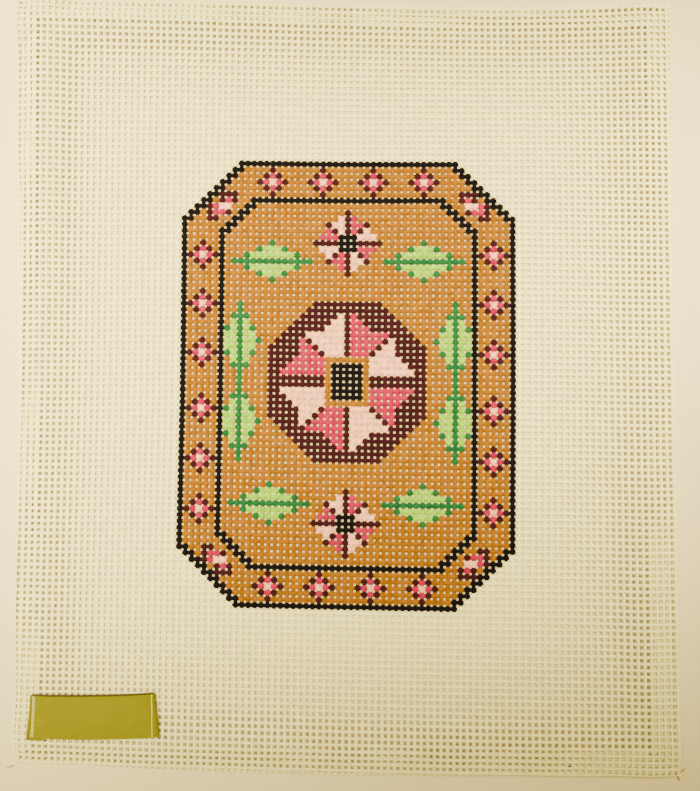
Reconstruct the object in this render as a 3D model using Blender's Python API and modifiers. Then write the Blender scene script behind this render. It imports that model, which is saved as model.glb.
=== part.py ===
"""Needlepoint canvas panel: a woven sheet with a turned-under hem, and its sewn-on label.

The panel lies face up on a flat surface at z = 0. X runs across it, Y up it, and the origin is
under the middle of its outline. The hem holds the border up, and inside it the sheet
comes down and lies flat on the surface. Sizes are in metres.
"""

import math
from collections import namedtuple

import bmesh
import bpy

MM = 0.001

# ---- Sheet ----------------------------------------------------------------------------------

SHEET_THICKNESS = 1.2 * MM  # two threads, one over the other
LAYER_GAP = 0.3 * MM  # between the sheet and its own hem
ROW_SLOPE = -0.0174  # the cross threads run this much downhill to the right

# How far each fold lies from the middle of the panel, at five stations along the side.
# Left and right run from the bottom to the top, bottom and top from the left to the right.
FoldLine = namedtuple("FoldLine", "start quarter middle three_quarters end")
Sides = namedtuple("Sides", "left right bottom top")
FOLDS_MM = Sides(
    left=FoldLine(start=99.5, quarter=99.5, middle=99.9, three_quarters=100.6, end=100.8),
    right=FoldLine(start=100.8, quarter=100.8, middle=100.6, three_quarters=100.4, end=100.8),
    bottom=FoldLine(start=117.1, quarter=118.2, middle=118.7, three_quarters=118.4, end=117.5),
    top=FoldLine(start=117.8, quarter=117.4, middle=116.6, three_quarters=116.1, end=117.7),
)
HEM_WIDTH_MM = Sides(left=7.8, right=9.2, bottom=7.8, top=6.8)
SETTLE_LENGTH_MM = Sides(left=24.0, right=34.0, bottom=40.0, top=30.0)  # hem to surface

# The panel stands on its four thick corners. From each the cloth bows up by this much.
HEM_RISE = 0.3 * MM
MIDDLE_RISE = 0.05 * MM
RISE_START = 2.4 * MM  # from the folds
RISE_REACH = 9.0 * MM

RIPPLE_HEIGHT = 0.22 * MM  # the folds waver a little
RIPPLE_WAVES = 6.5  # along one side
CORNER_PULL = 0.5 * MM  # a corner is drawn in by this much
CORNER_REACH = 3.0 * MM

CELLS_ACROSS = 24
CELLS_UP = 28
EDGE_CROWDING = 0.7  # 0 spreads the cells evenly, near 1 packs them at the edges
BEND_STEPS = 4  # faces round the fold
UNDER_STEPS = 2  # faces across the hem

HALF_SPAN = (100.6 * MM, 117.5 * MM)  # from the middle to a fold, about
BEND_RADIUS = (SHEET_THICKNESS + LAYER_GAP) / 2
BEND_REACH = BEND_RADIUS + SHEET_THICKNESS / 2  # from the fold's start to its outside

# ---- Label ----------------------------------------------------------------------------------

LABEL_LENGTH = 39.0 * MM
LABEL_WIDTH = 12.9 * MM
LABEL_THICKNESS = 1.0 * MM
LABEL_MIDDLE = (-75.3 * MM, -101.2 * MM)
LABEL_TURN = math.radians(0.9)
LABEL_CLEARANCE = 0.35 * MM  # above the sheet
LABEL_EDGE_LIFT = 0.45 * MM  # its upper edge stands off
LABEL_CELLS = (14, 6)

CANVAS_COLOUR = (0.807, 0.740, 0.577, 1.0)
LABEL_COLOUR = (0.604, 0.479, 0.010, 1.0)


def clear_scene():
    """Removes every object, so that the file holds only the panel."""
    for found in list(bpy.data.objects):
        bpy.data.objects.remove(found, do_unlink=True)


def new_collection(name):
    """Returns a new collection that is linked to the scene."""
    made = bpy.data.collections.new(name)
    bpy.context.scene.collection.children.link(made)
    return made


def cotton(name, colour, roughness):
    """A matt woven material."""
    made = bpy.data.materials.new(name)
    made.use_nodes = True
    shader = made.node_tree.nodes["Principled BSDF"]
    shader.inputs["Base Color"].default_value = colour
    shader.inputs["Roughness"].default_value = roughness
    shader.inputs["Metallic"].default_value = 0.0
    return made


# ---- The panel's plan and its height ------------------------------------------------------------


def fold_distance(line, share):
    """Distance of a fold from the middle, at a share of the way along its side."""
    stations = [value * MM for value in line]
    spans = len(stations) - 1
    index = min(int(share * spans), spans - 1)
    u = share * spans - index
    before = stations[max(index - 1, 0)]
    here, there = stations[index], stations[index + 1]
    after = stations[min(index + 2, spans)]
    rise_here, rise_there = (there - before) / 2, (after - here) / 2
    smooth = (
        here * (2 * u**3 - 3 * u**2 + 1)
        + rise_here * (u**3 - 2 * u**2 + u)
        + there * (3 * u**2 - 2 * u**3)
        + rise_there * (u**3 - u**2)
    )
    return smooth + RIPPLE_HEIGHT * math.sin(2 * math.pi * RIPPLE_WAVES * share) * math.sin(math.pi * share)


def plan_point(across, up, insets):
    """Where a point lies, from its shares across and up the panel inside folds moved inwards."""
    left = -fold_distance(FOLDS_MM.left, up) + insets.left
    right = fold_distance(FOLDS_MM.right, up) - insets.right
    bottom = -fold_distance(FOLDS_MM.bottom, across) + insets.bottom
    top = fold_distance(FOLDS_MM.top, across) - insets.top
    x = left + (right - left) * across
    y = bottom + (top - bottom) * up
    return x, y + ROW_SLOPE * x


def same_inset(inset):
    """One inset for all four sides."""
    return Sides(inset, inset, inset, inset)


def hem_inset(share):
    """The insets of a loop on the hem's under layer: 0 at the fold, 1 at the raw edge."""
    return Sides(*(BEND_REACH + share * (width * MM - BEND_REACH) for width in HEM_WIDTH_MM))


def fall(distance, length):
    """1 at no distance, falling smoothly to 0 at the length."""
    u = min(max(distance / length, 0.0), 1.0)
    return 1 - u * u * (3 - 2 * u)


def inside_folds(x, y):
    """Distance of a point of the plan from each of the four folds."""
    level = y - ROW_SLOPE * x
    across = min(max(0.5 + x / HALF_SPAN[0] / 2, 0.0), 1.0)
    up = min(max(0.5 + level / HALF_SPAN[1] / 2, 0.0), 1.0)
    return Sides(
        left=x + fold_distance(FOLDS_MM.left, up),
        right=fold_distance(FOLDS_MM.right, up) - x,
        bottom=level + fold_distance(FOLDS_MM.bottom, across),
        top=fold_distance(FOLDS_MM.top, across) - level,
    )


def hem_rise(x, y):
    """How far the hem stands off the surface: nothing at the corners, most between them."""
    inside = inside_folds(x, y)
    along = max(min(inside.left, inside.right), min(inside.bottom, inside.top)) - RISE_START
    return HEM_RISE * (1 - math.exp(-max(along, 0.0) / RISE_REACH))


def sheet_middle(x, y):
    """Height of the middle of the sheet: up on its hem at the border, down on the surface inside."""
    free = 1.0
    for distance, hem, length in zip(inside_folds(x, y), HEM_WIDTH_MM, SETTLE_LENGTH_MM):
        free *= 1 - fall(distance - hem * MM, length * MM)
    on_hem = SHEET_THICKNESS + LAYER_GAP + hem_rise(x, y)
    return SHEET_THICKNESS / 2 + free * MIDDLE_RISE + (1 - free) * on_hem


def crowded(share):
    """Moves an even share towards the nearer edge, where the sheet bends."""
    return share - EDGE_CROWDING * math.sin(2 * math.pi * share) / (2 * math.pi)


def corner_inset(across, up):
    """How far the outline is drawn in at a point of the rim, most at the corners."""
    along = 2 * math.hypot(
        min(across, 1 - across) * HALF_SPAN[0],
        min(up, 1 - up) * HALF_SPAN[1],
    )
    return CORNER_PULL * math.exp(-((along / CORNER_REACH) ** 2))


# ---- The two pieces ---------------------------------------------------------------------------


def flat_grid(columns, rows):
    """A bmesh grid with each vertex's shares across and up, both 0 to 1."""
    mesh = bmesh.new()
    bmesh.ops.create_grid(mesh, x_segments=columns, y_segments=rows, size=1.0)
    shares = {vert: ((vert.co.x + 1) / 2, (vert.co.y + 1) / 2) for vert in mesh.verts}
    return mesh, shares


def next_loop(mesh, rim, shares):
    """Extrudes the rim edges and returns the new rim, whose vertices keep their shares."""
    grown = bmesh.ops.extrude_edge_only(mesh, edges=rim)["geom"]
    loop = [item for item in grown if isinstance(item, bmesh.types.BMEdge)]
    loop = [edge for edge in loop if edge.is_boundary]
    fresh = {vert for edge in loop for vert in edge.verts}
    for vert in fresh:
        origin = next(edge.other_vert(vert) for edge in vert.link_edges if edge.other_vert(vert) not in fresh)
        shares[vert] = shares[origin]
    return loop, fresh


def solid_object(name, mesh, material, thickness, collection):
    """Turns an open surface into a closed sheet of the given thickness."""
    bmesh.ops.recalc_face_normals(mesh, faces=mesh.faces)
    data = bpy.data.meshes.new(name)
    mesh.to_mesh(data)
    mesh.free()
    data.shade_smooth()
    data.set_sharp_from_angle(angle=math.radians(50))
    data.materials.append(material)
    made = bpy.data.objects.new(name, data)
    collection.objects.link(made)
    shell = made.modifiers.new("thickness", "SOLIDIFY")
    shell.thickness = thickness
    shell.offset = 0.0
    shell.use_even_offset = True
    return made


def build_canvas(collection):
    """The sheet, its folds and the hem beneath, as one solid."""
    mesh, shares = flat_grid(CELLS_ACROSS, CELLS_UP)
    shares.update({vert: (crowded(a), crowded(b)) for vert, (a, b) in shares.items()})
    rim = [edge for edge in mesh.edges if edge.is_boundary]
    on_rim = {vert for edge in rim for vert in edge.verts}
    for vert in list(mesh.verts):
        inset = BEND_REACH + (corner_inset(*shares[vert]) if vert in on_rim else 0.0)
        x, y = plan_point(*shares[vert], same_inset(inset))
        vert.co = (x, y, sheet_middle(x, y))

    for step in range(1, BEND_STEPS + 1):
        angle = math.pi * step / BEND_STEPS
        rim, fresh = next_loop(mesh, rim, shares)
        for vert in fresh:
            inset = BEND_REACH - BEND_RADIUS * math.sin(angle) + corner_inset(*shares[vert])
            x, y = plan_point(*shares[vert], same_inset(inset))
            over_hem = SHEET_THICKNESS / 2 + BEND_RADIUS * (1 + math.cos(angle))
            vert.co = (x, y, over_hem + hem_rise(x, y))

    for step in range(1, UNDER_STEPS + 1):
        rim, fresh = next_loop(mesh, rim, shares)
        for vert in fresh:
            x, y = plan_point(*shares[vert], hem_inset(step / UNDER_STEPS))
            vert.co = (x, y, SHEET_THICKNESS / 2 + hem_rise(x, y))

    material = cotton("canvas_cotton", CANVAS_COLOUR, 0.85)
    return solid_object("canvas", mesh, material, SHEET_THICKNESS, collection)


def build_label(collection):
    """The label, which follows the sheet beneath it and lifts along its upper edge."""
    mesh, shares = flat_grid(*LABEL_CELLS)
    for vert, (across, up) in shares.items():
        along, over = (across - 0.5) * LABEL_LENGTH, (up - 0.5) * LABEL_WIDTH
        x = LABEL_MIDDLE[0] + along * math.cos(LABEL_TURN) - over * math.sin(LABEL_TURN)
        y = LABEL_MIDDLE[1] + along * math.sin(LABEL_TURN) + over * math.cos(LABEL_TURN)
        under = sheet_middle(x, y) + SHEET_THICKNESS / 2 + LABEL_CLEARANCE
        vert.co = (x, y, under + LABEL_EDGE_LIFT * up**3 + LABEL_THICKNESS / 2)
    material = cotton("label_ribbon", LABEL_COLOUR, 0.6)
    return solid_object("label", mesh, material, LABEL_THICKNESS, collection)


def main():
    """Builds the panel."""
    clear_scene()
    panel = new_collection("needlepoint_canvas_panel")
    build_canvas(panel)
    build_label(panel)


main()
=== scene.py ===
"""Looks of the needlepoint canvas panel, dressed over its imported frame.

The canvas is woven here thread by thread. Its threads are laid out flat, folded round the
hem with the cloth, and given their crimp and thickness by Geometry Nodes. A sewn-on ribbon
label and a few loose thread ends lie on it. Lengths are in metres unless a name says mm.
"""

import logging
import math
from dataclasses import dataclass, field
from enum import Enum, IntEnum

import bmesh
import bpy
import numpy as np
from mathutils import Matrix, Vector

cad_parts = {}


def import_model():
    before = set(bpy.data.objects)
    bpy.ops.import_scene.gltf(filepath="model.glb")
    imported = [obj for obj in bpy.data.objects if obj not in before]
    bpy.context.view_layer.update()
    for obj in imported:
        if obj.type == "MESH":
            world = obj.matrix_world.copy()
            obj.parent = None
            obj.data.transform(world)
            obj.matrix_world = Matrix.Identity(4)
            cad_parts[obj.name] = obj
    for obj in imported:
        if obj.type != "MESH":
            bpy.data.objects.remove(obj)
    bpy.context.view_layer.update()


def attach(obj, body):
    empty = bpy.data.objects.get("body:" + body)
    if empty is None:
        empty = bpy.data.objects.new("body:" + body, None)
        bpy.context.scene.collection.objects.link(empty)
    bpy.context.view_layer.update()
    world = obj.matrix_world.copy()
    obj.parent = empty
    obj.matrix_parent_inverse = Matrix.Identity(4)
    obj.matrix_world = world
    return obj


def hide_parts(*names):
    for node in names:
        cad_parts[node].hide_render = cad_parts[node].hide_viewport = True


MM = 0.001
HAIR = 1e-6  # two counts of threads that differ by less are the same
GOLDEN_ANGLE = math.pi * (3 - math.sqrt(5))
WAVE_REPEAT = 2 * math.pi / 20  # how much of its scaled coordinate a Wave texture repeats in
LOG = logging.getLogger("needlepoint_canvas_panel")

Array = np.ndarray
Colour = tuple[float, float, float, float]
Inputs = dict[str | int, object]
Mesh = bpy.types.Mesh
Object = bpy.types.Object
Socket = bpy.types.NodeSocket
Tree = bpy.types.NodeTree
Values = dict[str, object]


# ---- Helpers ------------------------------------------------------------------------------------


def linear(hex_colour: str) -> Colour:
    """Turns an sRGB hex colour into the linear colour that Blender works in.

    Args:
        hex_colour: Six hex digits with a leading hash.

    Returns:
        Linear red, green and blue, and an alpha of 1.
    """
    parts = [int(hex_colour[i : i + 2], 16) / 255 for i in (1, 3, 5)]
    made = [p / 12.92 if p <= 0.04045 else ((p + 0.055) / 1.055) ** 2.4 for p in parts]
    return (made[0], made[1], made[2], 1.0)


def per_metre(size_mm: float) -> float:
    """The scale on Object coordinates of a pattern whose grain has a size in millimetres."""
    return 1 / (size_mm * MM)


def add_node(
    tree: Tree, kind: str, inputs: Inputs | None = None, **settings: object
) -> bpy.types.Node:
    """Adds a node, with its settings made and its inputs filled in or linked.

    Args:
        tree: The node tree that gets the node.
        kind: Blender's name of the node type.
        inputs: Values, output sockets, or nodes for their first output, by the input's name
            or index.
        **settings: Properties of the node.

    Returns:
        The new node.
    """
    node = tree.nodes.new(kind)
    for name, value in settings.items():
        setattr(node, name, value)
    for key, value in (inputs or {}).items():
        source = value.outputs[0] if isinstance(value, bpy.types.Node) else value
        if isinstance(source, Socket):
            tree.links.new(source, node.inputs[key])
        else:
            node.inputs[key].default_value = source
    return node


def start_tree(name: str, shape: str, values: Values) -> tuple[Tree, bpy.types.NodeOutputs]:
    """Starts a Geometry Nodes tree with named inputs.

    Args:
        name: The tree's name.
        shape: Name of the input for the shape that it works on.
        values: What its other inputs will be given, by their names.

    Returns:
        The tree, and the sockets that its inputs come from.
    """
    tree = bpy.data.node_groups.new(name, "GeometryNodeTree")
    tree.interface.new_socket(shape, in_out="INPUT", socket_type="NodeSocketGeometry")
    for title, value in values.items():
        kind = "Int" if isinstance(value, int) else "Float"
        kind = "Material" if isinstance(value, bpy.types.Material) else kind
        tree.interface.new_socket(title, in_out="INPUT", socket_type=f"NodeSocket{kind}")
    tree.interface.new_socket("Made", in_out="OUTPUT", socket_type="NodeSocketGeometry")
    return tree, add_node(tree, "NodeGroupInput").outputs


def end_tree(tree: Tree, shape: bpy.types.Node, finish: Socket) -> None:
    """Ends a Geometry Nodes tree in real meshes of one material.

    Args:
        tree: The tree.
        shape: The node that makes the shape.
        finish: The material.
    """
    whole = add_node(tree, "GeometryNodeRealizeInstances", {"Geometry": shape})
    dressed = add_node(tree, "GeometryNodeSetMaterial", {"Geometry": whole, "Material": finish})
    add_node(tree, "NodeGroupOutput", {"Made": dressed})


def smooth_fall(distance: Array, length: float) -> Array:
    """Falls smoothly from 1 at no distance to 0 at the length.

    Args:
        distance: Distances, of either sign.
        length: Where the fall ends.

    Returns:
        The share that is left at each distance.
    """
    u = np.clip(distance / length, 0.0, 1.0)
    return 1 - u * u * (3 - 2 * u)


def station_weights(count: int, share: Array) -> Array:
    """Weights that lay a smooth curve through evenly spaced stations.

    Args:
        count: How many stations there are.
        share: How far along them, from 0 to 1.

    Returns:
        One row of station weights for each share.
    """
    steps = np.clip(share, 0.0, 1.0) * (count - 1)
    index = np.minimum(steps.astype(int), count - 2)
    u = steps - index
    leaving, arriving = (u**3 - 2 * u**2 + u) / 2, (u**3 - u**2) / 2
    weights = np.zeros((len(steps), count))
    for station, weight in (
        (np.maximum(index - 1, 0), -leaving),
        (index, 2 * u**3 - 3 * u**2 + 1 - arriving),
        (index + 1, 3 * u**2 - 2 * u**3 + leaving),
        (np.minimum(index + 2, count - 1), arriving),
    ):
        np.add.at(weights, (np.arange(len(steps)), station), weight)
    return weights


def new_object(name: str, data: Mesh) -> Object:
    """Links a new object that sits at the origin.

    Args:
        name: The object's name, which its mesh gets too.
        data: The mesh.

    Returns:
        The object.
    """
    data.name = name
    made = bpy.data.objects.new(name, data)
    bpy.context.scene.collection.objects.link(made)
    return made


def apply_modifier(made: Object, modifier: bpy.types.Modifier) -> None:
    """Turns what an object's only modifier makes of its mesh into a plain, smooth mesh.

    Args:
        made: The object.
        modifier: Its modifier, which is removed.
    """
    graph = bpy.context.evaluated_depsgraph_get()
    result = bpy.data.meshes.new_from_object(
        made.evaluated_get(graph), preserve_all_data_layers=True, depsgraph=graph
    )
    made.modifiers.remove(modifier)
    base, made.data = made.data, result
    bpy.data.meshes.remove(base)
    result.name = made.name
    result.shade_smooth()


def run_nodes(name: str, base: Mesh, tree: Tree, values: Values) -> Object:
    """Runs a Geometry Nodes tree over a mesh and keeps the result as a plain mesh.

    Args:
        name: Name of the new object.
        base: The mesh that goes into the tree.
        tree: The Geometry Nodes tree.
        values: The tree's inputs by their names, with the material as its finish.

    Returns:
        An object with a plain mesh of one material, and no modifier.
    """
    made = new_object(name, base)
    modifier = made.modifiers.new("nodes", "NODES")
    modifier.node_group = tree
    for item in tree.interface.items_tree:
        if item.item_type == "SOCKET" and item.in_out == "INPUT" and item.name in values:
            modifier[item.identifier] = values[item.name]
    made.update_tag()
    apply_modifier(made, modifier)
    made.data.materials.clear()
    made.data.materials.append(values["Finish"])
    return made


def put_attribute(data: Mesh, name: str, values: Array) -> None:
    """Stores one value or vector for each vertex of a mesh.

    Args:
        data: The mesh.
        name: The attribute's name.
        values: One row for each vertex, of one or three numbers.
    """
    vector = values.ndim == 2
    stored = data.attributes.new(name, "FLOAT_VECTOR" if vector else "FLOAT", "POINT")
    stored.data.foreach_set("vector" if vector else "value", values.astype(np.float32).ravel())


def get_numbers(rows: bpy.types.bpy_prop_collection, name: str, kind: type = np.int32) -> Array:
    """Reads one number from each row of a mesh's data.

    Args:
        rows: The mesh's polygons or loops, or the rows of an attribute.
        name: What is read from each.
        kind: The kind of number.

    Returns:
        The numbers.
    """
    values = np.zeros(len(rows), kind)
    rows.foreach_get(name, values)
    return values


def plan_map(data: Mesh) -> None:
    """Gives a mesh a flat UV map that looks straight down on it and fills the square.

    Args:
        data: The mesh.
    """
    places = np.zeros(len(data.vertices) * 3, np.float32)
    data.vertices.foreach_get("co", places)
    places = places.reshape(-1, 3).astype(float)[:, :2]
    low, high = places.min(axis=0), places.max(axis=0)
    corners = ((places - low) / (high - low))[get_numbers(data.loops, "vertex_index")]
    flat = data.uv_layers.new(name="OFBake")
    flat.data.foreach_set("uv", corners.astype(np.float32).ravel())


# ---- The folded cloth ---------------------------------------------------------------------------


class Side(IntEnum):
    """The four folded sides of the panel."""

    LEFT = 0
    RIGHT = 1
    BOTTOM = 2
    TOP = 3


@dataclass(frozen=True)
class FoldedSide:
    """One fold and the hem turned under along it.

    Each row of stations runs from the bottom to the top or from the left to the right:
    fold_mm is the fold's distance from the panel's middle, creep_mm how far the hem's own layer
    has crept inwards, which opens or blocks the holes of the two layers, and spring_mm how high
    the stiff hem's inner edge stands.
    """

    fold_mm: tuple[float, ...]
    hem_mm: float
    settle_mm: float
    creep_mm: tuple[float, ...]
    spring_mm: tuple[float, ...]
    ripple_mm: float = 0.1
    ripple_waves: float = 6.5
    slope_span: float = 0.02

    def at_stations(self, values_mm: tuple[float, ...], share: Array) -> Array:
        """Smooth values in metres at shares from 0 to 1 of the side, from its stations."""
        return station_weights(len(values_mm), share) @ np.array(values_mm) * MM

    def distance(self, share: Array) -> Array:
        """Distance of the fold from the middle, ripple included, at shares from 0 to 1."""
        ripple = np.sin(2 * math.pi * self.ripple_waves * share) * np.sin(math.pi * share)
        return self.at_stations(self.fold_mm, share) + self.ripple_mm * MM * ripple

    def slope(self, share: Array, length: float) -> Array:
        """How fast the fold leaves the middle along its side.

        Args:
            share: How far along the side, from 0 to 1.
            length: The side's length.

        Returns:
            Rise for each unit of length.
        """
        low, high = np.maximum(share - self.slope_span, 0.0), np.minimum(share + self.slope_span, 1.0)
        rise = self.at_stations(self.fold_mm, high) - self.at_stations(self.fold_mm, low)
        return rise / ((high - low) * length)


@dataclass(frozen=True)
class FoldedCloth:
    """The cloth's shape: where any point of the flat cloth lies once its hem is turned under.

    A place on the flat cloth is given by across, along the rows, and level, up the columns. All
    that comes in fours is in the order of Side.
    """

    thickness: float = 0.5 * MM
    layer_gap: float = 0.03 * MM
    row_slope: float = -0.0174
    half_width: float = 100.6 * MM
    half_height: float = 117.5 * MM
    spring_reach: float = 13.0 * MM
    middle_rise: float = 0.05 * MM
    corner_pull: float = 0.1 * MM
    corner_reach: float = 3.0 * MM
    creep_reach: float = 1.5 * MM
    mitre_overlap: float = 0.15 * MM
    sides: tuple[FoldedSide, ...] = (
        FoldedSide(
            fold_mm=(100.2, 100.0, 100.2, 101.0, 101.5),
            hem_mm=7.8,
            settle_mm=24.0,
            creep_mm=(0.1, 0.3, 0.6, 0.7, 1.2),
            spring_mm=(0.6, 0.5, 0.6, 1.3, 1.7),
        ),
        FoldedSide(
            fold_mm=(101.3, 101.15, 101.0, 101.0, 101.5),
            hem_mm=9.2,
            settle_mm=34.0,
            creep_mm=(0.7, 0.45, -0.2, -0.3, -0.1),
            spring_mm=(0.7, 1.2, 0.3, 0.5, 0.8),
        ),
        FoldedSide(
            fold_mm=(117.6, 118.9, 119.4, 118.75, 117.6),
            hem_mm=7.8,
            settle_mm=40.0,
            creep_mm=(-0.7, 0.45, 1.25, -0.05, -0.75),
            spring_mm=(1.1, 1.3, 1.2, 1.0, 0.7),
        ),
        FoldedSide(
            fold_mm=(118.1, 117.8, 117.15, 116.45, 118.3),
            hem_mm=6.8,
            settle_mm=30.0,
            creep_mm=(0.45, 0.45, 0.7, 1.25, 1.8),
            spring_mm=(1.7, 1.1, 0.5, 0.3, 0.5),
        ),
    )

    @property
    def bend_radius(self) -> float:
        """Radius of the fold, measured to the middle of the cloth."""
        return (self.thickness + self.layer_gap) / 2

    @property
    def bend_reach(self) -> float:
        """From the start of the fold to its outside."""
        return self.bend_radius + self.thickness / 2

    def shares(self, across: Array, level: Array) -> tuple[Array, ...]:
        """How far along each of the four sides a point lies.

        Args:
            across: Places along the rows.
            level: Places up the columns.

        Returns:
            Four rows of shares from 0 to 1.
        """
        wide = np.clip(0.5 + across / self.half_width / 2, 0.0, 1.0)
        tall = np.clip(0.5 + level / self.half_height / 2, 0.0, 1.0)
        return tall, tall, wide, wide

    def inside(self, x: Array, y: Array) -> Array:
        """Distances inside the four folds.

        Args:
            x: Places across.
            y: Places up.

        Returns:
            Four rows of distances.
        """
        level = y - self.row_slope * x
        shares = self.shares(x, level)
        left, right, bottom, top = (side.distance(share) for side, share in zip(self.sides, shares))
        return np.stack([x + left, right - x, level + bottom, top - level])

    def outward(self, across: Array, level: Array) -> Array:
        """Directions that point out of the panel, square to each fold.

        Args:
            across: Places along the rows.
            level: Places up the columns.

        Returns:
            An array of four sides by points by x and y.
        """
        tall, wide = 2 * self.half_height, 2 * self.half_width
        sides = zip(self.sides, self.shares(across, level), (tall, tall, wide, wide))
        left, right, bottom, top = (side.slope(share, length) for side, share, length in sides)
        one = np.ones_like(across)
        square = np.stack(
            [
                np.stack([-one, -left], axis=1),
                np.stack([one, -right], axis=1),
                np.stack([self.row_slope - bottom, -one], axis=1),
                np.stack([-self.row_slope - top, one], axis=1),
            ]
        )
        return square / np.linalg.norm(square, axis=2, keepdims=True)

    def spring(self, x: Array, y: Array) -> Array:
        """How far the stiff hems hold both layers off the floor.

        Args:
            x: Places across the folded panel.
            y: Places up the folded panel.

        Returns:
            Heights.
        """
        height = np.zeros_like(x)
        shares = self.shares(x, y - self.row_slope * x)
        for distance, side, share in zip(self.inside(x, y), self.sides, shares):
            edge = side.hem_mm * MM
            rise = (1 - smooth_fall(distance, edge)) * smooth_fall(distance - edge, self.spring_reach)
            height = np.maximum(height, side.at_stations(side.spring_mm, share) * rise)
        return height

    def sheet_middle(self, x: Array, y: Array) -> Array:
        """Height of the middle of the sheet: up on its hem at the border, down inside it.

        Args:
            x: Places across.
            y: Places up.

        Returns:
            Heights.
        """
        free = np.ones_like(x)
        for distance, side in zip(self.inside(x, y), self.sides):
            free = free * (1 - smooth_fall(distance - side.hem_mm * MM, side.settle_mm * MM))
        on_hem = self.thickness + self.layer_gap
        flat = self.thickness / 2 + free * self.middle_rise + (1 - free) * on_hem
        return flat + self.spring(x, y)

    def beyond(self, across: Array, level: Array) -> Array:
        """Four rows of how far points of the flat cloth lie past the start of each fold."""
        return self.bend_reach - self.inside(across, level + self.row_slope * across)

    def inset(self, past: Array) -> Array:
        """Distance of a point inside the fold's line.

        Args:
            past: How far along the cloth the point lies past the fold's start.

        Returns:
            Distances.
        """
        turn = np.clip(past / self.bend_radius, 0.0, math.pi)
        return (
            self.bend_reach
            - np.minimum(past, 0.0)
            - self.bend_radius * np.sin(turn)
            + np.maximum(past - math.pi * self.bend_radius, 0.0)
        )

    def creep(self, across: Array, level: Array, owner: Array) -> Array:
        """How far the hem that each point belongs to has crept inwards.

        Args:
            across: Places along the rows.
            level: Places up the columns.
            owner: The side whose hem each point belongs to.

        Returns:
            Distances.
        """
        sides = zip(self.sides, self.shares(across, level))
        crept = np.stack([side.at_stations(side.creep_mm, share) for side, share in sides])
        return crept[owner, np.arange(len(across))]

    def uncut(self, across: Array, level: Array) -> Array:
        """Whether the cloth is there, or cut away where two hems meet at a corner.

        Args:
            across: Places along the rows.
            level: Places up the columns.

        Returns:
            True where there is cloth.
        """
        past = self.beyond(across, level)
        owner = past.argmax(axis=0)
        own_inset = self.inset(past.max(axis=0))
        left, right, bottom, top = self.bend_reach - past
        other = np.where(owner < Side.BOTTOM, np.minimum(bottom, top), np.minimum(left, right))
        return (past.max(axis=0) <= 0) | (other >= own_inset - self.mitre_overlap)

    def place(self, across: Array, level: Array) -> tuple[Array, Array]:
        """Folds points of the flat cloth into place.

        Args:
            across: Places along the rows of the flat cloth.
            level: Places up its columns.

        Returns:
            Places of the cloth's middle, and the directions its face looks in.
        """
        past = self.beyond(across, level)
        owner, reach = past.argmax(axis=0), np.maximum(past.max(axis=0), 0.0)
        turn = np.minimum(reach / self.bend_radius, math.pi)
        out = self.outward(across, level)[owner, np.arange(len(across))]
        crept = 1 - smooth_fall(reach - math.pi * self.bend_radius, self.creep_reach)
        inward = reach + self.inset(reach) - self.bend_reach + crept * self.creep(across, level, owner)
        x = across - inward * out[:, 0]
        y = level + self.row_slope * across - inward * out[:, 1]
        round_fold = self.thickness / 2 + self.bend_radius * (1 + np.cos(turn))
        z = np.where(reach > 0, round_fold + self.spring(x, y), self.sheet_middle(x, y))

        left, right, bottom, top = self.inside(x, y)
        from_side = np.maximum(np.minimum(left, right) - self.bend_reach, 0.0)
        from_end = np.maximum(np.minimum(bottom, top) - self.bend_reach, 0.0)
        pull = self.corner_pull * np.exp(-(np.hypot(from_side, from_end) / self.corner_reach) ** 2)
        x = x + pull * np.where(left < right, 1.0, -1.0)
        y = y + pull * np.where(bottom < top, 1.0, -1.0)
        face = np.stack([out[:, 0] * np.sin(turn), out[:, 1] * np.sin(turn), np.cos(turn)], axis=1)
        return np.stack([x, y, z], axis=1), face


# ---- The painted design -------------------------------------------------------------------------


class Paint(Enum):
    """Colours of the painted design."""

    BARE = "#F1EEDD"
    OCHRE = "#825200"
    MAROON = "#2E1024"
    BLUSH = "#EEA6B7"
    ROSE = "#961956"
    SPRING = "#80B30A"
    LEAF = "#18543F"
    UMBER = "#0C0A1A"


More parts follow.
